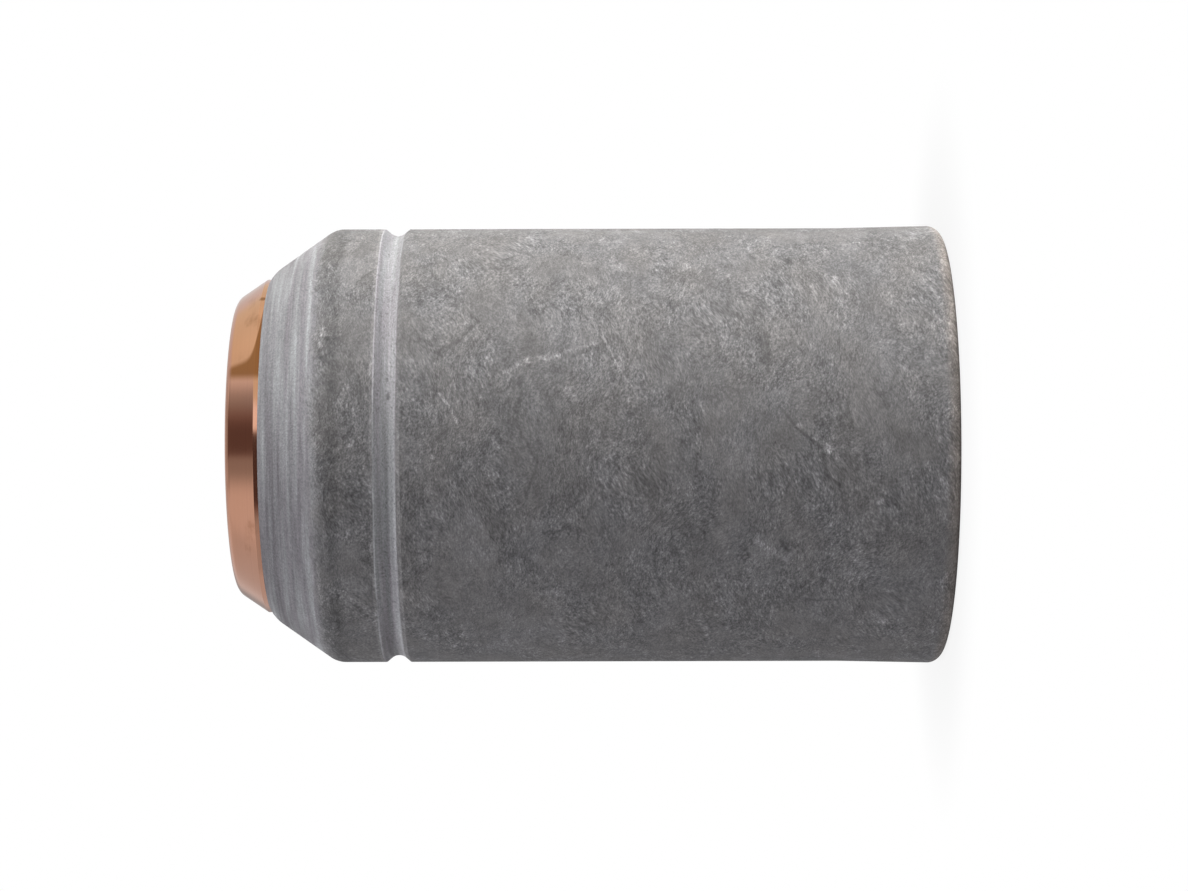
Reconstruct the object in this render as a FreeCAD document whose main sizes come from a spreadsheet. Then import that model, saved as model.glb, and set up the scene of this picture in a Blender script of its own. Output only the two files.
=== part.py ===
import FreeCAD, Part
import math
import os
import Sketcher
from FreeCAD import Vector

# Plasma shield cap: a moulded insulating shell on a turned copper insert.
# Millimetres and degrees. +Z runs along the axis towards the copper nose, and the
# origin is the centre of the rear rim, on which the cap stands.

doc = FreeCAD.newDocument("plasma_shield_cap")
sizes = doc.addObject("Spreadsheet::Sheet", "Sizes")

DRIVING_SIZES = {
    # Length of the cap and thread that it screws on by
    "overall_length": 60.8,
    "thread_diameter": 30.0,
    "thread_pitch": 1.5,
    "thread_length": 13.5,
    "relief_width": 2.5,
    "relief_clearance": 0.2,
    "lead_in_angle": 45.0,
    # Insert around the thread and its nose
    "sleeve_wall": 1.0,
    "sleeve_recess": 6.0,
    "shoulder_width": 1.73,
    "nose_height": 2.94,
    "nose_land_length": 0.37,
    "nose_cone_angle": 34.0,
    "nose_rounding": 1.2,
    "nose_bore_diameter": 19.0,
    "nose_bore_length": 2.4,
    "nose_bore_chamfer": 0.3,
    "seat_angle": 45.0,
    "chamber_step": 1.39,
    # Shell around the insert
    "bond_clearance": 0.03,
    "shell_wall": 2.58,
    "lip_length": 4.4,
    "counterbore_step": 0.37,
    "mouth_chamfer": 0.3,
    "flare_length": 9.0,
    "flare_rise": 0.19,
    "rear_rounding": 1.2,
    "front_chamfer_angle": 35.0,
    "front_edge_angle": 60.0,
    "front_edge_width": 0.62,
    "front_edge_rounding": 2.9,
    # Turned groove around the shell, from the shell's front edge to its middle
    "groove_setback": 10.93,
    "groove_width": 2.14,
    "groove_flank_angle": 40.0,
    "groove_root_rounding": 1.0,
}
for row, (alias, value) in enumerate(DRIVING_SIZES.items(), start=1):
    sizes.set(f"A{row}", alias)
    sizes.set(f"B{row}", str(value))
    sizes.setAlias(f"B{row}", alias)
doc.recompute()

# Places that both pieces share, worked out from the driving sizes
SHELL_FRONT = "(Sizes.overall_length - Sizes.nose_height)"
SHOULDER_HEIGHT = f"({SHELL_FRONT} - Sizes.lip_length)"
RELIEF_RADIUS = "(Sizes.thread_diameter / 2 + Sizes.relief_clearance)"
SLEEVE_RADIUS = f"({RELIEF_RADIUS} + Sizes.sleeve_wall)"
LAND_RADIUS = f"({SLEEVE_RADIUS} - Sizes.shoulder_width)"


def size_of(expression):
    """The value that an expression of the sheet has now."""
    return float(sizes.evalExpression(expression))


def origin_plane(body, role):
    """One of the body's own origin planes."""
    return next(item for item in body.Origin.OriginFeatures if item.Role == role)


def outline_edge(start, end, rounding):
    """A straight edge, or an arc of the given radius: positive bulges left of its travel."""
    if rounding is None:
        return Part.LineSegment(start, end)
    bend = size_of(rounding)
    chord = end - start
    left = Vector(-chord.y, chord.x, 0).normalize()
    depth = abs(bend) - math.sqrt(bend ** 2 - (chord.Length / 2) ** 2)
    middle = (start + end) / 2 + left * math.copysign(depth, bend)
    return Part.Arc(start, middle, end)


def axial_outline(body, name, corners):
    """A closed outline in the XZ plane, each corner held by its radius and its height.

    A third entry in a corner makes an arc of that radius from there to the next corner.
    """
    sketch = body.newObject("Sketcher::SketchObject", name)
    sketch.AttachmentSupport = [(origin_plane(body, "XZ_Plane"), "")]
    sketch.MapMode = "FlatFace"
    places = [Vector(size_of(corner[0]), size_of(corner[1]), 0) for corner in corners]
    bends = [corner[2] if len(corner) == 3 else None for corner in corners]
    for edge, (start, bend) in enumerate(zip(places, bends)):
        following = (edge + 1) % len(places)
        sketch.addGeometry(outline_edge(start, places[following], bend))
    starts = [1 if bend is None or size_of(bend) < 0 else 2 for bend in bends]
    for edge, start in enumerate(starts):
        following = (edge + 1) % len(places)
        joint = Sketcher.Constraint("Coincident", edge, 3 - start, following, starts[following])
        sketch.addConstraint(joint)
    for edge, (corner, place, bend) in enumerate(zip(corners, places, bends)):
        start = starts[edge]
        if corner[0] == "0":
            sketch.addConstraint(Sketcher.Constraint("PointOnObject", edge, start, -2))
        else:
            across = Sketcher.Constraint("DistanceX", -1, 1, edge, start, place.x)
            sketch.setExpression(f"Constraints[{sketch.addConstraint(across)}]", corner[0])
        if corner[1] == "0":
            sketch.addConstraint(Sketcher.Constraint("PointOnObject", edge, start, -1))
        else:
            along = Sketcher.Constraint("DistanceY", -1, 1, edge, start, place.y)
            sketch.setExpression(f"Constraints[{sketch.addConstraint(along)}]", corner[1])
        if bend is not None:
            curve = Sketcher.Constraint("Radius", edge, abs(size_of(bend)))
            sketch.setExpression(f"Constraints[{sketch.addConstraint(curve)}]", f"abs({bend})")
    return sketch


def turned(body, kind, name, corners):
    """A solid (Revolution) or a cut (Groove) turned about the cap's axis."""
    outline = axial_outline(body, f"{name}_outline", corners)
    before = body.Shape.Volume if body.Tip else 0.0
    feature = body.newObject(f"PartDesign::{kind}", name)
    feature.Profile = outline
    feature.ReferenceAxis = (outline, ["V_Axis"])
    feature.Angle = 360
    outline.Visibility = False
    doc.recompute()
    grew = feature.Shape.Volume > before
    if grew != (kind == "Revolution"):
        raise ValueError(f"{name} didn't change the {body.Label} as meant")
    return feature


def round_edge(feature, radius, height):
    """The name of the circular edge nearest to a radius and a height."""
    def distance(edge):
        circle = edge.Curve
        return abs(circle.Radius - size_of(radius)) + abs(circle.Center.z - size_of(height))

    circles = [
        (distance(edge), f"Edge{number}")
        for number, edge in enumerate(feature.Shape.Edges, start=1)
        if isinstance(edge.Curve, Part.Circle)
    ]
    return min(circles)[1]


def dressed(body, kind, name, size, radius, height):
    """A Fillet or Chamfer of the named size on one turned edge."""
    base = body.Tip
    feature = body.newObject(f"PartDesign::{kind}", name)
    feature.Base = (base, [round_edge(base, radius, height)])
    feature.setExpression("Radius" if kind == "Fillet" else "Size", size)
    doc.recompute()
    return feature


def make_insulating_shell():
    """The moulded shell: chamfered front, turned groove and a faint flare at the rear."""
    body = doc.addObject("PartDesign::Body", "insulating_shell")
    body.Label = "insulating_shell"

    bore = f"({SLEEVE_RADIUS} + Sizes.bond_clearance)"
    body_radius = f"({bore} + Sizes.shell_wall)"
    rear_radius = f"({body_radius} + Sizes.flare_rise)"
    lip_bore = f"({LAND_RADIUS} + Sizes.bond_clearance)"
    edge_radius = f"({lip_bore} + Sizes.front_edge_width)"
    edge_height = f"({SHELL_FRONT} - Sizes.front_edge_width / tan(Sizes.front_edge_angle))"
    chamfer_rise = f"(({body_radius} - {edge_radius}) / tan(Sizes.front_chamfer_angle))"
    chamfer_height = f"({edge_height} - {chamfer_rise})"
    # The front edge's arc runs from the chamfer into the steep band at the copper land
    edge_turn = "(Sizes.front_edge_angle - Sizes.front_chamfer_angle)"
    edge_reach = f"(Sizes.front_edge_rounding * tan({edge_turn} / 2))"
    turned(body, "Revolution", "moulding", [
        (bore, "0"),
        (rear_radius, "0"),
        (body_radius, "Sizes.flare_length"),
        (body_radius, chamfer_height),
        (f"{edge_radius} + {edge_reach} * sin(Sizes.front_chamfer_angle)",
         f"{edge_height} - {edge_reach} * cos(Sizes.front_chamfer_angle)",
         "-Sizes.front_edge_rounding"),
        (f"{edge_radius} - {edge_reach} * sin(Sizes.front_edge_angle)",
         f"{edge_height} + {edge_reach} * cos(Sizes.front_edge_angle)"),
        (lip_bore, SHELL_FRONT),
        (lip_bore, SHOULDER_HEIGHT),
        (bore, SHOULDER_HEIGHT),
    ])
    dressed(body, "Fillet", "rear_edge", "Sizes.rear_rounding", rear_radius, "0")

    # The V groove has a round root, and its flanks run on past the body's surface
    flank_angle = "Sizes.groove_flank_angle"
    flank_rise = f"(Sizes.groove_width / 2 * tan({flank_angle}))"
    root_centre = f"({body_radius} - {flank_rise}"
    root_centre += f" + Sizes.groove_root_rounding / cos({flank_angle}))"
    root_radius = f"({root_centre} - Sizes.groove_root_rounding * cos({flank_angle}))"
    root_reach = f"(Sizes.groove_root_rounding * sin({flank_angle}))"
    groove_height = f"({SHELL_FRONT} - Sizes.groove_setback)"
    mouth_radius = f"({body_radius} + {flank_rise})"
    turned(body, "Groove", "groove", [
        (root_radius, f"{groove_height} - {root_reach}", "Sizes.groove_root_rounding"),
        (root_radius, f"{groove_height} + {root_reach}"),
        (mouth_radius, f"{groove_height} + Sizes.groove_width"),
        (mouth_radius, f"{groove_height} - Sizes.groove_width"),
    ])

    # The wider rear mouth ends level with the rear of the sleeve
    mouth = f"({bore} + Sizes.counterbore_step)"
    turned(body, "Groove", "counterbore", [
        ("0", "0"),
        (mouth, "0"),
        (mouth, "Sizes.sleeve_recess"),
        ("0", "Sizes.sleeve_recess"),
    ])
    dressed(body, "Chamfer", "mouth_edge", "Sizes.mouth_chamfer", mouth, "0")
    return body


def make_copper_insert():
    """The turned insert: conical nose, shoulder under the shell's lip, threaded sleeve."""
    body = doc.addObject("PartDesign::Body", "copper_insert")
    body.Label = "copper_insert"

    nose_front = "Sizes.overall_length"
    land_front = f"({SHELL_FRONT} + Sizes.nose_land_length)"
    cone_height = "(Sizes.nose_height - Sizes.nose_land_length)"
    nose_radius = f"({LAND_RADIUS} - {cone_height} * tan(Sizes.nose_cone_angle))"
    turned(body, "Revolution", "turned_blank", [
        ("0", "Sizes.sleeve_recess"),
        (SLEEVE_RADIUS, "Sizes.sleeve_recess"),
        (SLEEVE_RADIUS, SHOULDER_HEIGHT),
        (LAND_RADIUS, SHOULDER_HEIGHT),
        (LAND_RADIUS, land_front),
        (nose_radius, nose_front),
        ("0", nose_front),
    ])
    dressed(body, "Fillet", "nose_edge", "Sizes.nose_rounding", nose_radius, nose_front)

    # The nozzle comes in from the rear and rests on the cone behind the nose bore
    crest_radius = "(Sizes.thread_diameter / 2 - 0.54127 * Sizes.thread_pitch)"
    chamber = f"({crest_radius} - Sizes.chamber_step)"
    nose_bore = "(Sizes.nose_bore_diameter / 2)"
    seat_front = f"({nose_front} - Sizes.nose_bore_length)"
    seat_rear = f"({seat_front} - ({chamber} - {nose_bore}) / tan(Sizes.seat_angle))"
    turned(body, "Groove", "nozzle_chamber", [
        ("0", "Sizes.sleeve_recess"),
        (chamber, "Sizes.sleeve_recess"),
        (chamber, seat_rear),
        (nose_bore, seat_front),
        (nose_bore, nose_front),
        ("0", nose_front),
    ])
    dressed(body, "Chamfer", "nose_bore_edge", "Sizes.nose_bore_chamfer", nose_bore, nose_front)

    # Thread bore at the crests of a metric thread, with a lead-in behind and a relief in front
    lead_in = f"(({RELIEF_RADIUS} - {crest_radius}) / tan(Sizes.lead_in_angle))"
    thread_front = "(Sizes.sleeve_recess + Sizes.thread_length)"
    relief_front = f"({thread_front} + Sizes.relief_width)"
    turned(body, "Groove", "thread_bore", [
        ("0", "Sizes.sleeve_recess"),
        (RELIEF_RADIUS, "Sizes.sleeve_recess"),
        (crest_radius, f"Sizes.sleeve_recess + {lead_in}"),
        (crest_radius, f"{thread_front} - {lead_in}"),
        (RELIEF_RADIUS, thread_front),
        (RELIEF_RADIUS, relief_front),
        ("0", relief_front),
    ])
    return body


bodies = [make_insulating_shell(), make_copper_insert()]
doc.recompute()

for item in doc.Objects:
    if "Invalid" in item.State or "Error" in item.State:
        raise RuntimeError(f"{item.Label} failed: {item.State}")
for body in bodies:
    shape = body.Shape
    if shape.isNull() or not shape.isValid() or len(shape.Solids) != 1:
        raise RuntimeError(f"{body.Label} isn't one valid solid")

os.makedirs("parts", exist_ok=True)
for body in bodies:
    body.Shape.exportStep(f"parts/{body.Label}.step")
    box = body.Shape.BoundBox
    print(body.Label, f"{body.Shape.Volume:.1f} mm3",
          f"x {box.XLength:.3f} y {box.YLength:.3f} z {box.ZMin:.3f}..{box.ZMax:.3f}")
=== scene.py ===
import math

import bpy
from mathutils import Matrix, Vector


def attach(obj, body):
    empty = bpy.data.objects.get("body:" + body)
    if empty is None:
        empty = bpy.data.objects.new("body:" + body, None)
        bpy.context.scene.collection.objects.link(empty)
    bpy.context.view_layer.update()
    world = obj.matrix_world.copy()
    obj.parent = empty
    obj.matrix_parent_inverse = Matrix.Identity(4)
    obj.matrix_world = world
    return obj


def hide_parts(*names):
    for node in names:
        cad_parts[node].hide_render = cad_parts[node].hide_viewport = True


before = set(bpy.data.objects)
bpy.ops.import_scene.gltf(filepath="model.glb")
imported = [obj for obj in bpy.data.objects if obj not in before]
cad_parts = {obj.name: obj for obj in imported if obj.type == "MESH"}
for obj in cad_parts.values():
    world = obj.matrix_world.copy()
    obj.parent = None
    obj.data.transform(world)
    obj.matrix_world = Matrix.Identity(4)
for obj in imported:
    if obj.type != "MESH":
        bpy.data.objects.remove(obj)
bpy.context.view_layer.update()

# Insulating shell: the outer sleeve, moulded in one piece from phenolic
# resin and chopped fibre. The nose chamfer and the grip groove are turned
# afterwards, and the sleeve is bonded over the copper insert.
MM = 0.001
RING_STEPS = 240
ARC_STEP = math.radians(6)
SMOOTH_ANGLE = math.radians(28)
WELD_DISTANCE = 0.002 * MM
SHELL_RADIUS = 18.81
CHAMFER_START = 52.232
GROOVE_CENTRE = 46.93
GROOVE_HALF = 1.07

SHELL_CORNERS = [
    (16.90, 0.00, 0.0),
    (19.00, 0.00, 1.2),
    (18.81, 9.00, 0.0),
    (SHELL_RADIUS, GROOVE_CENTRE - GROOVE_HALF, 0.12),
    (17.912, GROOVE_CENTRE, 1.0),
    (SHELL_RADIUS, GROOVE_CENTRE + GROOVE_HALF, 0.12),
    (SHELL_RADIUS, CHAMFER_START, 2.2),
    (15.12, 57.502, 2.9),
    (14.50, 57.86, 0.0),
    (14.50, 53.46, 0.0),
    (16.23, 53.46, 0.0),
    (16.23, 6.00, 0.0),
    (16.60, 6.00, 0.0),
    (16.60, 0.30, 0.0),
]


def walk_section(corners, spacing):
    """The points of a closed half section in mm, from corners of radius, height and rounding."""
    rounded = []
    for index, (radius, height, rounding) in enumerate(corners):
        corner = Vector((radius, height))
        if rounding == 0.0:
            rounded.append(corner)
            continue
        back = (Vector(corners[index - 1][:2]) - corner).normalized()
        ahead = (Vector(corners[(index + 1) % len(corners)][:2]) - corner).normalized()
        half = back.angle(ahead) / 2
        centre = corner + (back + ahead).normalized() * rounding / math.sin(half)
        start = corner + back * rounding / math.tan(half) - centre
        end = corner + ahead * rounding / math.tan(half) - centre
        steps = max(3, math.ceil(start.angle(end) / ARC_STEP))
        for step in range(steps + 1):
            rounded.append(centre + start.lerp(end, step / steps).normalized() * rounding)
    points = []
    for here, there in zip(rounded, rounded[1:] + rounded[:1]):
        parts = max(1, math.ceil((there - here).length / spacing))
        points += [here.lerp(there, part / parts) for part in range(parts)]
    return points + points[:1]


def turn_piece(name, points):
    """Draws a half section point by point and spins it round the axis, as a lathe would turn it."""
    bpy.ops.object.select_all(action="DESELECT")
    bpy.ops.mesh.primitive_plane_add(size=MM)
    piece = bpy.context.object
    piece.name = piece.data.name = name
    bpy.ops.object.mode_set(mode="EDIT")
    bpy.ops.mesh.select_mode(type="VERT")
    bpy.ops.mesh.merge(type="CENTER")
    bpy.ops.transform.translate(value=(points[0].x * MM, 0, points[0].y * MM))
    for here, there in zip(points, points[1:]):
        step = (there - here) * MM
        bpy.ops.mesh.extrude_region_move(TRANSFORM_OT_translate={"value": (step.x, 0, step.y)})
    bpy.ops.mesh.select_all(action="SELECT")
    bpy.ops.mesh.spin(steps=RING_STEPS, angle=math.tau, center=(0, 0, 0), axis=(0, 0, 1))
    bpy.ops.mesh.select_all(action="SELECT")
    bpy.ops.mesh.remove_doubles(threshold=WELD_DISTANCE)
    bpy.ops.mesh.normals_make_consistent(inside=False)
    bpy.ops.object.mode_set(mode="OBJECT")
    return piece


class Tone:
    """A socket of a finish. Sums written on it add Math nodes, and node() adds any other node."""

    def __init__(self, tree, socket=None):
        self.tree = tree
        self.socket = socket

    def node(self, kind, settings, inputs, output=0):
        made = self.tree.nodes.new(kind)
        for name, value in settings.items():
            setattr(made, name, value)
        for name, value in inputs.items():
            if isinstance(value, Tone):
                self.tree.links.new(value.socket, made.inputs[name])
            else:
                made.inputs[name].default_value = value
        return Tone(self.tree, made.outputs[output])

    def sum(self, operation, *values):
        return self.node("ShaderNodeMath", {"operation": operation}, dict(enumerate(values)))

    def __add__(self, other):
        return self.sum("ADD", self, other)

    __radd__ = __add__

    def __sub__(self, other):
        return self.sum("SUBTRACT", self, other)

    def __rsub__(self, other):
        return self.sum("SUBTRACT", other, self)

    def __mul__(self, other):
        return self.sum("MULTIPLY", self, other)

    __rmul__ = __mul__

    def between(self, low, high):
        """0 below low and 1 above high, with a soft step; low above high turns it round."""
        return self.node(
            "ShaderNodeMapRange",
            {"interpolation_type": "SMOOTHSTEP"},
            {"Value": self, "From Min": low, "From Max": high},
        )

    def steps(self, start, *ramps):
        """start, changed by the last figure of each ramp (low, high, change) as this passes it."""
        level = start
        for low, high, change in ramps:
            level = level + self.between(low, high) * change
        return level

    def far_from(self, middle):
        """How far this value is from a middle one, either way."""
        return self.sum("ABSOLUTE", self - middle)

    def part(self, letter):
        """One part of this vector or colour: X, Y or Z."""
        return self.node("ShaderNodeSeparateXYZ", {}, {0: self}, letter)

    def stretched(self, spread):
        """This vector with each of its parts multiplied by that part of spread."""
        return self.node("ShaderNodeVectorMath", {"operation": "MULTIPLY"}, {0: self, 1: spread})

    def speckle(self, spread, detail, roughness):
        """Noise on this vector, stretched by spread, about 0 with peaks near 1 and -1."""
        stretched = self.stretched(spread)
        noise = self.node(
            "ShaderNodeTexNoise",
            {"noise_dimensions": "3D"},
            {"Vector": stretched, "Scale": 1.0, "Detail": detail, "Roughness": roughness},
        )
        return (noise - 0.5) * 2.0

    def slanted(self, degrees):
        """This vector with its first two parts turned, so that what runs along the first slants."""
        return self.node(
            "ShaderNodeVectorRotate",
            {"rotation_type": "Z_AXIS"},
            {"Vector": self, "Angle": math.radians(degrees)},
        )

    def tint(self, first, second):
        """The first colour where this is 0 and the second where it is 1."""
        return self.node(
            "ShaderNodeMix", {"data_type": "RGBA"}, {0: self, 6: first, 7: second}, output=2
        )

    def shade(self, colour):
        """A colour made lighter or darker by this value."""
        return self.node("ShaderNodeVectorMath", {"operation": "SCALE"}, {0: colour, "Scale": self})

    def bump(self):
        """A surface's direction where it is raised by this height in mm."""
        return self.node(
            "ShaderNodeBump", {}, {"Strength": 1.0, "Distance": MM, "Height": self}, "Normal"
        )

    def into(self, socket):
        self.tree.links.new(self.socket, socket)


def start_finish(name, piece, settings):
    """A new material on a piece, with its constant values. Returns its shader and place in mm."""
    finish = bpy.data.materials.new(name)
    finish.use_nodes = True
    piece.data.materials.clear()
    piece.data.materials.append(finish)
    shader = finish.node_tree.nodes["Principled BSDF"]
    for socket, value in settings.items():
        shader.inputs[socket].default_value = value
    empty = Tone(finish.node_tree)
    metres = empty.node("ShaderNodeTexCoord", {}, {}, "Object")
    place = empty.node("ShaderNodeVectorMath", {"operation": "SCALE"}, {0: metres, "Scale": 1 / MM})
    return shader, place


shell = turn_piece("insulating_sleeve", walk_section(SHELL_CORNERS, spacing=1.0))
bpy.ops.object.shade_smooth_by_angle(angle=SMOOTH_ANGLE)

shader, place = start_finish("moulded_fibre_composite", shell, {"Specular IOR Level": 0.12})
x, y, z = (place.part(letter) for letter in "XYZ")
radius = place.sum("SQRT", x * x + y * y)
arc = place.sum("ARCTAN2", x, 0.0 - y) * SHELL_RADIUS

# Chopped fibre lies round the sleeve in short dabs, a few tenths of a mm
# long, whose slant wanders from patch to patch over mottled resin. The way
# round is folded at the two sides, so that the pattern meets itself there.
wander = place.speckle((0.11, 0.11, 0.11), 1.0, 0.5)
folded = place.sum("ARCTAN2", place.sum("ABSOLUTE", y), x) * SHELL_RADIUS
round_way = folded + wander * 2.0
up_way = z + wander * -2.4
depth = y * 0.8 + radius * 2.0
lay = place.node("ShaderNodeCombineXYZ", {}, {0: round_way, 1: up_way, 2: depth})
dabs = lay.slanted(14).speckle((2.3, 4.8, 1.0), 1.0, 0.5)
crossing_dabs = lay.slanted(-24).speckle((1.9, 4.4, 1.3), 1.0, 0.5)
grain = lay.speckle((5.0, 8.0, 1.5), 1.0, 0.6)
clumps = lay.slanted(10).speckle((0.8, 1.5, 0.8), 2.0, 0.6)
mottling = place.speckle((0.38, 0.38, 0.50), 3.0, 0.6)
flecks = lay.slanted(20).speckle((2.0, 3.6, 1.6), 1.0, 0.5).between(0.28, 0.55)
drift = place.speckle((0.22, 0.22, 0.30), 2.0, 0.5)

# The chamfer and the groove are cut with a tool, so they carry fine rings
# in place of fibre, and the cut composite is lighter than its skin. The cut
# edge of the chamfer wanders, because the skin that it meets is uneven.
edge_wander = place.speckle((0.55, 0.55, 0.55), 3.0, 0.7) * 0.9 + grain * 0.25
SKIN_END, CUT_START = 52.55, 53.65
chamfer = (z + edge_wander).between(SKIN_END, CUT_START)
from_groove = z.far_from(GROOVE_CENTRE + 0.20) + edge_wander * 0.12
groove = from_groove.between(GROOVE_HALF - 0.04, GROOVE_HALF - 0.20)
machined = chamfer.sum("MAXIMUM", chamfer, groove)
tool_rings = place.speckle((0.13, 0.13, 4.2), 3.0, 0.65)
broad_rings = place.speckle((0.08, 0.08, 1.8), 2.0, 0.55)

# Thin flakes of the skin lie over each other like slate. Each one is a
# little lighter or darker than the next, and here and there its edge shows.
pushed = mottling.shade((1.6, 1.6, 0.0))
flake_way = lay.node(
    "ShaderNodeVectorMath", {"operation": "ADD"}, {0: lay.slanted(16), 1: pushed}
).stretched((0.20, 0.34, 0.2))
flake_colour = flake_way.node(
    "ShaderNodeTexVoronoi", {"feature": "F1"}, {"Vector": flake_way, "Scale": 1.0}, "Color"
)
flakes = flake_colour.part("X") - 0.5
resin_rich = flake_colour.part("Y").between(0.55, 0.80)
flake_edge = flake_way.node(
    "ShaderNodeTexVoronoi",
    {"feature": "DISTANCE_TO_EDGE"},
    {"Vector": flake_way, "Scale": 1.0},
    "Distance",
)
shows = place.speckle((0.30, 0.30, 0.30), 1.0, 0.5).between(0.05, 0.35)
flake_edge = flake_edge.between(0.035, 0.0) * shows

# Bands round the shell: the height of the middle, the half widths where the
# band begins and where it is full, and how much lighter or darker it is. The
# tip of the chamfer is darker too, and the rear edge is painted lighter against the floor's shade.
BANDS = [
    (53.80, 0.85, 0.45, 0.16),
    (55.35, 0.24, 0.08, 0.12),
    (51.90, 1.25, 0.50, -0.28),
    (48.15, 0.26, 0.08, 0.26),
    (47.20, 0.45, 0.20, -0.07),
]
# Painted light: the last 2.6 mm at the rear are lightened against the floor's shade.
bands = z.steps(0.0, (56.2, 57.2, -0.07), (2.6, 0.4, 0.13))
for middle, begins, full, strength in BANDS:
    bands = bands + z.far_from(middle).between(begins, full) * strength
# Painted light, in part: the groove's wall at 46.55 mm, facing the nose, is lighter as a cut face
# and as a painted highlight. It is painted darker on the +X side, which the wide soft box lights,
# and lighter on the -X side, which lies in shade.
groove_wall_and_painted_light = z.far_from(46.55).between(0.40, 0.14)
groove_wall_and_painted_light = groove_wall_and_painted_light * x.steps(0.09, (5.0, 15.0, -0.28), (1.0, -4.0, 0.16))
pits = lay.speckle((3.0, 4.0, 1.0), 1.0, 0.5).between(0.20, 0.45) * groove * -0.30

# Handling marks: height, turn from the front in degrees, then the same for
# the other end, half width in mm, and how much lighter or darker.
MARKS = [
    (37.18, 18.8, 35.48, 21.7, 0.16, 0.13),
    (35.48, 21.7, 33.03, 23.1, 0.22, 0.19),
    (33.03, 23.1, 30.08, 26.3, 0.13, 0.14),
    (34.80, 26.0, 30.20, 26.0, 1.00, -0.05),
    (41.60, 27.0, 40.00, 24.0, 0.90, -0.05),
    (39.87, 31.6, 41.30, 27.0, 0.15, -0.11),
    (41.30, 27.0, 42.87, 23.7, 0.22, -0.09),
    (42.87, 23.7, 44.26, 16.1, 0.15, -0.09),
    (44.30, 39.4, 44.30, 38.4, 0.17, -0.20),
    (35.90, 17.5, 36.06, 11.2, 0.12, -0.11),
    (36.06, 11.2, 36.35, 8.4, 0.20, -0.12),
    (36.30, 8.4, 36.00, 2.2, 0.12, -0.07),
    (52.30, 30.6, 52.20, 29.0, 0.20, 0.22),
    (52.42, 27.0, 52.30, 26.4, 0.22, 0.22),
    (52.10, 23.9, 52.10, 23.6, 0.16, 0.18),
    (51.90, 28.3, 51.80, 27.6, 0.14, -0.22),
    (46.80, 13.2, 46.74, 11.9, 0.09, -0.30),
    (46.95, 17.6, 46.93, 17.0, 0.08, -0.22),
    (42.55, 12.9, 41.72, 9.6, 0.10, 0.20),
    (41.72, 9.6, 41.14, 5.6, 0.10, 0.20),
    (43.09, -2.8, 43.05, -3.2, 0.16, 0.30),
    (35.53, 1.3, 34.64, -4.2, 0.09, -0.12),
    (34.64, -4.2, 35.54, -13.2, 0.09, -0.12),
    (29.43, 29.3, 27.31, 15.9, 0.10, 0.12),
    (21.53, 10.9, 20.89, 7.7, 0.12, 0.20),
    (15.97, 28.3, 16.02, 22.7, 0.45, -0.10),
    (13.65, 55.4, 13.60, 54.0, 0.20, -0.18),
    (10.03, 47.4, 10.00, 46.4, 0.24, 0.22),
    (22.30, 53.1, 22.28, 52.0, 0.30, 0.16),
    (14.78, 9.1, 13.49, 4.1, 0.10, -0.13),
    (13.49, 4.1, 11.46, -0.9, 0.10, -0.16),
    (11.46, -0.9, 10.96, -7.8, 0.11, -0.17),
    (10.96, -7.8, 10.05, -9.9, 0.10, -0.15),
    (10.05, -9.9, 9.71, -14.2, 0.10, -0.12),
    (10.97, -0.6, 10.90, -1.4, 0.24, 0.34),
    (13.32, 4.9, 13.20, 4.4, 0.18, 0.26),
    (16.74, -24.8, 13.98, -30.5, 0.22, 0.14),
    (14.69, -24.8, 14.26, -27.1, 0.12, -0.16),
    (14.26, -27.1, 13.93, -27.6, 0.12, -0.14),
    (12.34, -43.2, 9.85, -43.3, 0.11, -0.12),
]
wobble = place.speckle((1.0, 1.0, 1.0), 3.0, 0.65) * 0.34
scars = 0.0
for height, turn, far_height, far_turn, width, strength in MARKS:
    start = math.radians(turn) * SHELL_RADIUS
    run = math.radians(far_turn) * SHELL_RADIUS - start
    rise = far_height - height
    across = arc + wobble - start
    up = z + wobble - height
    reach = across * (run / (run**2 + rise**2)) + up * (rise / (run**2 + rise**2))
    reach = reach.node("ShaderNodeClamp", {}, {"Value": reach})
    side = across - reach * run
    end = up - reach * rise
    away = side.sum("SQRT", side * side + end * end)
    scars = scars + away.between(width * 2.0, width * 0.3) * strength
scars = scars * (2.2 + dabs * 1.6 + grain * 1.2)

# Each part of the tone is summed first and then taken as an exponent, so that
# a mark lightens or darkens what it lies on in proportion. The rear rim is a
# warmer, lighter grey: partly wear and partly painted light against the floor's shade.
patches = drift.between(-0.25, 0.25) * 0.32 + 0.94 - resin_rich * 0.42
fibre_tone = (dabs * 0.44 + crossing_dabs * 0.36 + clumps * 0.46) * patches + mottling * 0.38
fibre_tone = fibre_tone + grain * 0.72 * (patches * 0.6 + 0.4)
fibre_tone = fibre_tone + fibre_tone * fibre_tone * 0.15 + flecks * patches * 0.08
fibre_tone = fibre_tone + flakes * 0.13 + resin_rich * 0.03 - flake_edge * 0.16
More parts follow.
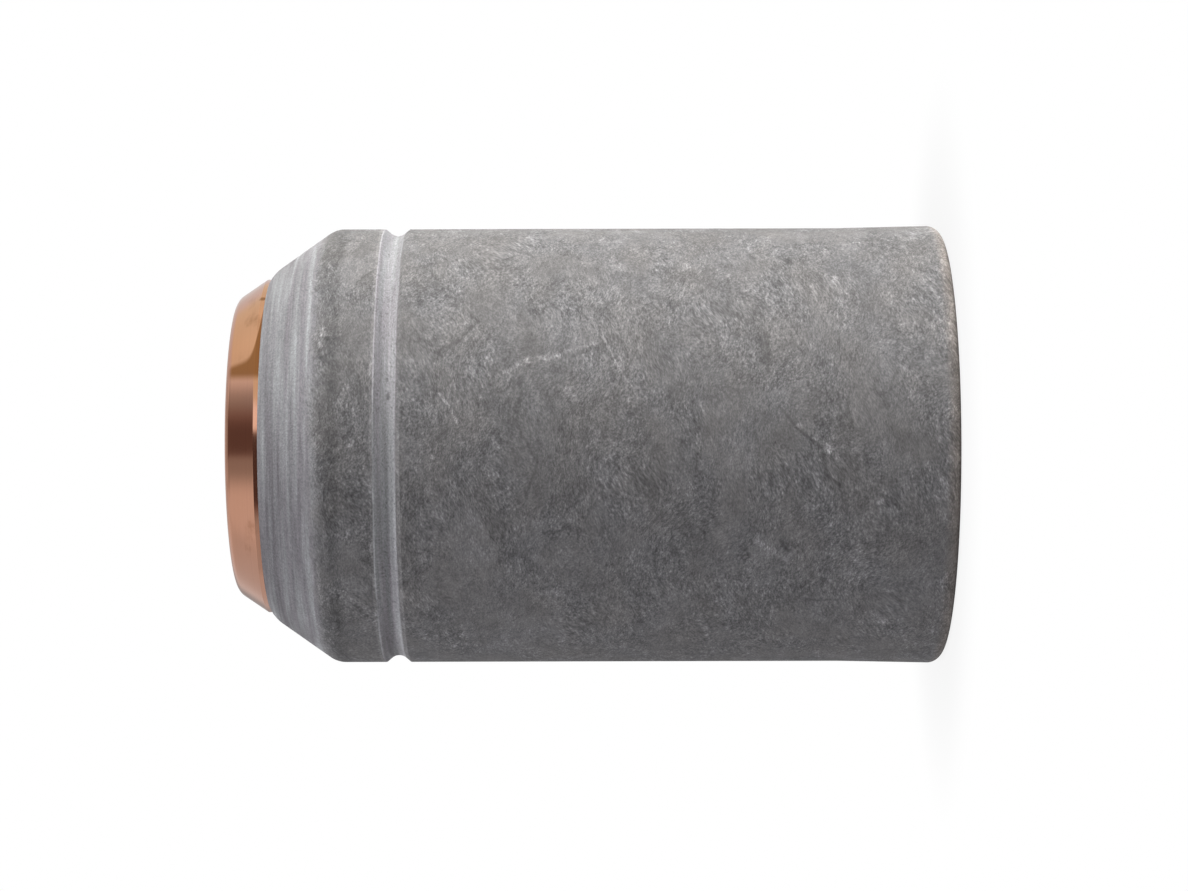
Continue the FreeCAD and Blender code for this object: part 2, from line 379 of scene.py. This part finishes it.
# The cut faces are lighter than the skin. The groove is lighter again, partly as a cut face and
# partly as painted light that fills the shade inside it.
cut_tone = tool_rings * 0.46 + broad_rings * (1 - groove * 0.6) * 0.80 + grain * 0.46
cut_tone = cut_tone + clumps * 0.14 + groove * 0.60 + 0.02
placed_tone = scars + bands + groove_wall_and_painted_light + pits - 0.05
tone = fibre_tone * (1 - machined) + cut_tone * machined + placed_tone
tone = tone.sum("EXPONENT", tone)
stain = drift.between(-0.5, 0.5).tint((0.161, 0.157, 0.157, 1.0), (0.157, 0.156, 0.160, 1.0))
cut_stain = broad_rings.between(-0.4, 0.4).tint(
    (0.164, 0.157, 0.168, 1.0), (0.155, 0.159, 0.163, 1.0)
)
stain = machined.tint(stain, cut_stain)
# Painted light, in part: the rim's lighter grey offsets the shade next to the floor.
rim = (z + wobble).between(1.4, 0.2)
stain = rim.tint(stain, (0.285, 0.258, 0.240, 1.0))
tone.shade(stain).into(shader.inputs["Base Color"])
wear = 0.64 + dabs * 0.08 + mottling * 0.06 - machined * 0.06
wear.into(shader.inputs["Roughness"])
fibre_relief = (dabs * 0.007 + clumps * 0.010) * (1 - resin_rich * 0.5)
fibre_relief = fibre_relief + grain * 0.0025 + flakes * 0.04
relief = fibre_relief * (1 - machined) + (tool_rings * 0.006 + grain * 0.004) * machined
relief.bump().into(shader.inputs["Normal"])

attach(shell, "root")
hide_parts("insulating_shell")

# Copper insert: the threaded inside of the cap, turned from copper bar. Its
# nose stands proud of the shell and its thread screws onto the torch head.
THREAD_PITCH = 1.5
THREAD_RADIUS = 15.0
CREST_RADIUS = 14.188

INSERT_CORNERS = [
    (15.20, 6.00, 0.0),
    (16.20, 6.00, 0.1),
    (16.20, 53.46, 0.0),
    (14.47, 53.46, 0.0),
    (14.47, 58.23, 0.1),
    (12.7365, 60.80, 1.2),
    (9.80, 60.80, 0.1),
    (9.50, 60.50, 0.1),
    (9.50, 58.40, 0.2),
    (12.798, 55.102, 0.4),
    (12.798, 22.00, 0.15),
    (15.20, 22.00, 0.2),
    (15.20, 19.50, 0.0),
    (CREST_RADIUS, 18.488, 0.0),
    (CREST_RADIUS, 7.012, 0.0),
]
insert = turn_piece("copper_nose_insert", walk_section(INSERT_CORNERS, spacing=12.0))

# The thread is cut as a tap cuts it: one tooth, widest at the bore, is swept
# up the axis and taken away from the wall. It runs out in the relief.
THREAD_START = 4.4
THREAD_TURNS = 11
STEPS_A_TURN = 120
FLANK_ANGLE = math.radians(30)
TOOTH_INNER = 13.9
TOOTH_DEPTH = THREAD_RADIUS - TOOTH_INNER
TOOTH_TIP_WIDTH = THREAD_PITCH / 8
TOOTH_BASE_WIDTH = TOOTH_TIP_WIDTH + 2 * TOOTH_DEPTH * math.tan(FLANK_ANGLE)
bpy.ops.object.select_all(action="DESELECT")
bpy.ops.mesh.primitive_plane_add(size=MM, rotation=(math.pi / 2, 0, 0))
tap = bpy.context.object
bpy.ops.object.transform_apply(location=False, rotation=True, scale=False)
bpy.ops.object.mode_set(mode="EDIT")
bpy.ops.transform.resize(value=(TOOTH_DEPTH, 1, TOOTH_BASE_WIDTH))
bpy.ops.mesh.select_all(action="DESELECT")
bpy.ops.object.mode_set(mode="OBJECT")
for corner in tap.data.vertices:
    corner.select = corner.co.x > 0
bpy.ops.object.mode_set(mode="EDIT")
bpy.ops.mesh.select_mode(type="VERT")
bpy.ops.transform.resize(value=(1, 1, TOOTH_TIP_WIDTH / TOOTH_BASE_WIDTH))
bpy.ops.mesh.select_all(action="SELECT")
tooth_middle = (THREAD_RADIUS + TOOTH_INNER) / 2
bpy.ops.transform.translate(value=(tooth_middle * MM, 0, THREAD_START * MM))
bpy.ops.object.mode_set(mode="OBJECT")
sweep = tap.modifiers.new("thread", "SCREW")
sweep.angle = math.tau
sweep.screw_offset = THREAD_PITCH * MM
sweep.iterations = THREAD_TURNS
sweep.steps = sweep.render_steps = STEPS_A_TURN
sweep.use_merge_vertices = False
bpy.ops.object.modifier_apply(modifier="thread")
bpy.ops.object.mode_set(mode="EDIT")
bpy.ops.mesh.select_all(action="SELECT")
bpy.ops.mesh.fill_holes(sides=4)
bpy.ops.mesh.select_all(action="SELECT")
bpy.ops.mesh.normals_make_consistent(inside=False)
bpy.ops.object.mode_set(mode="OBJECT")

bpy.ops.object.select_all(action="DESELECT")
bpy.context.view_layer.objects.active = insert
insert.select_set(True)
cut = insert.modifiers.new("tapping", "BOOLEAN")
cut.operation = "DIFFERENCE"
cut.solver = "EXACT"
cut.object = tap
bpy.ops.object.modifier_apply(modifier="tapping")
bpy.data.objects.remove(tap)
bpy.ops.object.mode_set(mode="EDIT")
bpy.ops.mesh.select_all(action="SELECT")
bpy.ops.mesh.remove_doubles(threshold=WELD_DISTANCE)
bpy.ops.mesh.dissolve_degenerate(threshold=WELD_DISTANCE)
bpy.ops.mesh.quads_convert_to_tris(quad_method="BEAUTY", ngon_method="BEAUTY")
bpy.ops.object.mode_set(mode="OBJECT")
bpy.ops.object.shade_smooth_by_angle(angle=SMOOTH_ANGLE)

shader, place = start_finish("turned_copper", insert, {"Metallic": 1.0})
x, y, z = (place.part(letter) for letter in "XYZ")
radius = place.sum("SQRT", x * x + y * y)
across = place.node("ShaderNodeCombineXYZ", {}, {0: radius, 1: z, 2: 0.0})
lathe_rings = across.speckle((9.0, 9.0, 1.0), 3.0, 0.6)
tarnish = place.speckle((0.35, 0.35, 0.5), 4.0, 0.6)
blush = place.speckle((0.12, 0.12, 0.2), 1.0, 0.5).between(-0.4, 0.4)
colour = blush.tint((0.62, 0.320, 0.215, 1.0), (0.61, 0.330, 0.235, 1.0))

# A brown wedge on the side of the camera, whose long edge curves away from the
# nose, is a painted dark reflection. Beside it, a dark spot sits at the shell's edge.
turn = place.sum("ARCTAN2", x, 0.0 - y) * (180 / math.pi)
below_tip = 60.6 - z
wedge = turn - place.sum("POWER", below_tip, 8.0) * 0.0072
# Painted reflection: the wedge's brown stands in for the dark reflection there.
painted_reflection_wedge = wedge.between(32.0, 29.0) * x.between(5.3, 6.1)
painted_reflection_wedge = painted_reflection_wedge * z.between(57.0, 57.6) * z.between(60.7, 60.2)
SPOT_PLACE = (12.45, -7.30, 58.08)
from_spot = place.node(
    "ShaderNodeVectorMath", {"operation": "DISTANCE"}, {0: place, 1: SPOT_PLACE}, "Value"
)
# The tarnish is the copper's own colour. The wedge mixed in with it is painted reflection.
tarnish_and_painted_reflection = painted_reflection_wedge.sum("MAXIMUM", painted_reflection_wedge, from_spot.between(0.42, 0.16) * 0.95)
tarnish_and_painted_reflection = tarnish_and_painted_reflection.sum("MAXIMUM", tarnish_and_painted_reflection, tarnish.between(0.1, 0.7) * 0.6)
colour = tarnish_and_painted_reflection.tint(colour, (0.30, 0.13, 0.06, 1.0))
(1 + lathe_rings * 0.08).shade(colour).into(shader.inputs["Base Color"])
inside = radius.between(12.9, 12.6) * z.between(58.0, 57.0)
nose_face = z.between(60.55, 60.72)
polish = 0.15 + tarnish * 0.05 + lathe_rings * 0.04 + inside * 0.2 + nose_face * 0.2
polish.into(shader.inputs["Roughness"])
(lathe_rings * 0.0012).bump().into(shader.inputs["Normal"])

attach(insert, "root")
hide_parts("copper_insert")

# Floor: a pale bench top under the standing cap, which keeps a soft contact
# shadow close to the rim and fades to plain white further out. Reflections
# show it dimmer on one side, opposite the wide soft box.
FLOOR_SIZE = 4.0
WHITE = (1.0, 1.0, 1.0, 1.0)
SHADOW_END, SHADOW_FULL = 0.034, 0.019
bpy.ops.object.select_all(action="DESELECT")
bpy.ops.mesh.primitive_plane_add(size=FLOOR_SIZE)
floor = bpy.context.object
floor.name = floor.data.name = "floor"
bench = bpy.data.materials.new("pale_bench")
bench.use_nodes = True
floor.data.materials.append(bench)
empty = Tone(bench.node_tree)
metres = empty.node("ShaderNodeTexCoord", {}, {}, "Object")
from_axis = metres.node("ShaderNodeVectorMath", {"operation": "LENGTH"}, {0: metres}, "Value")
near = from_axis.between(SHADOW_END, SHADOW_FULL)
eye = empty.node("ShaderNodeLightPath", {}, {}, "Is Camera Ray")
mirror = empty.node("ShaderNodeLightPath", {}, {}, "Is Glossy Ray")
glow = 1 - mirror * metres.part("X").between(0.01, -0.05) * 0.7
glow_colour = glow.shade((1.0, 1.0, 1.0))
plain = empty.node("ShaderNodeEmission", {}, {"Color": glow_colour, "Strength": 1.0})
matt = empty.node("ShaderNodeBsdfDiffuse", {}, {"Color": (0.35, 0.35, 0.35, 1.0)})
share = 1 - (eye + mirror) * (1 - near * 0.12)
surface = empty.node("ShaderNodeMixShader", {}, {0: share, 1: plain, 2: matt})
surface.into(bench.node_tree.nodes["Material Output"].inputs["Surface"])

# Light: one wide soft box stands beside the cap, one hangs over its nose and
# a weak one fills its back. A dim room does the rest, and is dimmer opposite
# the first box.
AIM = Vector((0, 0, 0.03))
for name, place_at, size, energy, colour in (
    ("side_box", (0.63, -0.07, 0.17), 0.52, 11.8, (1.0, 0.985, 0.955)),
    ("nose_box", (-0.17, -0.10, 0.66), 0.45, 4.5, (0.98, 0.97, 1.0)),
    ("back_box", (0.06, 0.62, 0.22), 0.50, 3.6, (1.0, 1.0, 1.0)),
):
    lamp_data = bpy.data.lights.new(name, "AREA")
    lamp_data.shape = "SQUARE"
    lamp_data.size = size
    lamp_data.energy = energy
    lamp_data.color = colour
    lamp = bpy.data.objects.new(name, lamp_data)
    bpy.context.scene.collection.objects.link(lamp)
    lamp.location = place_at
    lamp.rotation_euler = (AIM - lamp.location).to_track_quat("-Z", "Y").to_euler()
    lamp.visible_glossy = False

world = bpy.data.worlds.new("studio")
bpy.context.scene.world = world
world.use_nodes = True
empty = Tone(world.node_tree)
eye = empty.node("ShaderNodeLightPath", {}, {}, "Is Camera Ray")
mirror = empty.node("ShaderNodeLightPath", {}, {}, "Is Glossy Ray")
clear = empty.node("ShaderNodeLightPath", {}, {}, "Is Transmission Ray")
heading = empty.node("ShaderNodeTexCoord", {}, {}, "Generated")
to_side, to_back, to_nose = (heading.part(letter) for letter in "XYZ")

# Metal shows the room as white walls that fall away to a dark gap on the side
# of the camera. What it shows depends on where it looks: high over the cap,
# level towards the camera, or at the wall beyond the cap.
high = to_side.steps(
    0.11,
    (-0.06, -0.10, 0.25),
    (-0.18, -0.38, 0.44),
    (0.12, 0.52, 0.50),
    (0.38, 0.48, 0.30),
    (0.58, 0.68, 0.15),
)
gap_depth = to_side.steps(1.17, (-0.60, -0.85, -0.47))
level_way = to_side.steps(1.24, (0.44, 0.54, -0.34)) - to_side.between(0.20, 0.14) * gap_depth
shown = high + (level_way - high) * to_nose.between(0.50, 0.30)
beyond = to_side.far_from(0.0).between(0.12, 0.34)
beyond = to_back.between(0.04, 0.22) * (0.5 + beyond * 0.5)
beyond = beyond.sum("MAXIMUM", beyond, to_back.between(0.50, 0.70))
far_wall = to_side.steps(0.78, (0.35, 0.60, 0.14), (-0.40, -0.58, -0.12))
far_wall = far_wall + to_side.between(0.55, 0.68) * to_back.between(0.50, 0.10) * 0.15
far_wall = far_wall - to_back.between(0.80, 0.94) * to_side.between(0.10, -0.25) * 0.40
shown = shown + (far_wall - shown) * beyond
warm = to_side.between(0.46, 0.54).tint(WHITE, (1.0, 0.98, 0.76, 1.0))
warm = shown.between(0.40, 0.10).tint(warm, (1.30, 0.92, 0.84, 1.0))
room_tone = 1 - to_side.between(-0.20, -0.90) * 0.30
room_colour = room_tone.shade((0.97, 0.96, 1.0))
room = empty.node("ShaderNodeBackground", {}, {"Color": room_colour, "Strength": 0.36})
polished = empty.node("ShaderNodeBackground", {}, {"Color": shown.shade(warm), "Strength": 1.0})
white = empty.node("ShaderNodeBackground", {}, {"Color": WHITE, "Strength": 1.0})
sky = empty.node("ShaderNodeMixShader", {}, {0: mirror, 1: room, 2: polished})
sky = empty.node("ShaderNodeMixShader", {}, {0: eye.sum("MAXIMUM", eye, clear), 1: sky, 2: white})
sky.into(world.node_tree.nodes["World Output"].inputs["Surface"])

# Camera: level with the middle of the cap and rolled a quarter turn, so that
# the nose points left in the picture.
CAMERA_PLACE = (-0.03 * MM, -281.4 * MM, 30.0 * MM)
CAMERA_ROLL = math.radians(-0.15)
FOCAL_PIXELS = 3229.0
PICTURE_WIDTH = 1188
camera_data = bpy.data.cameras.new("camera")
camera_data.sensor_fit = "HORIZONTAL"
camera_data.sensor_width = 36.0
camera_data.lens = FOCAL_PIXELS / PICTURE_WIDTH * camera_data.sensor_width
camera_data.clip_start = 0.01
camera_data.clip_end = 20.0
camera = bpy.data.objects.new("camera", camera_data)
bpy.context.scene.collection.objects.link(camera)
quarter_turn = Matrix(((0, 1, 0), (0, 0, -1), (-1, 0, 0))).to_4x4()
small_roll = Matrix.Rotation(CAMERA_ROLL, 4, "Z")
camera.matrix_world = Matrix.Translation(CAMERA_PLACE) @ quarter_turn @ small_roll
bpy.context.scene.camera = camera
bpy.context.scene.view_settings.view_transform = "Standard"

bpy.context.view_layer.update()
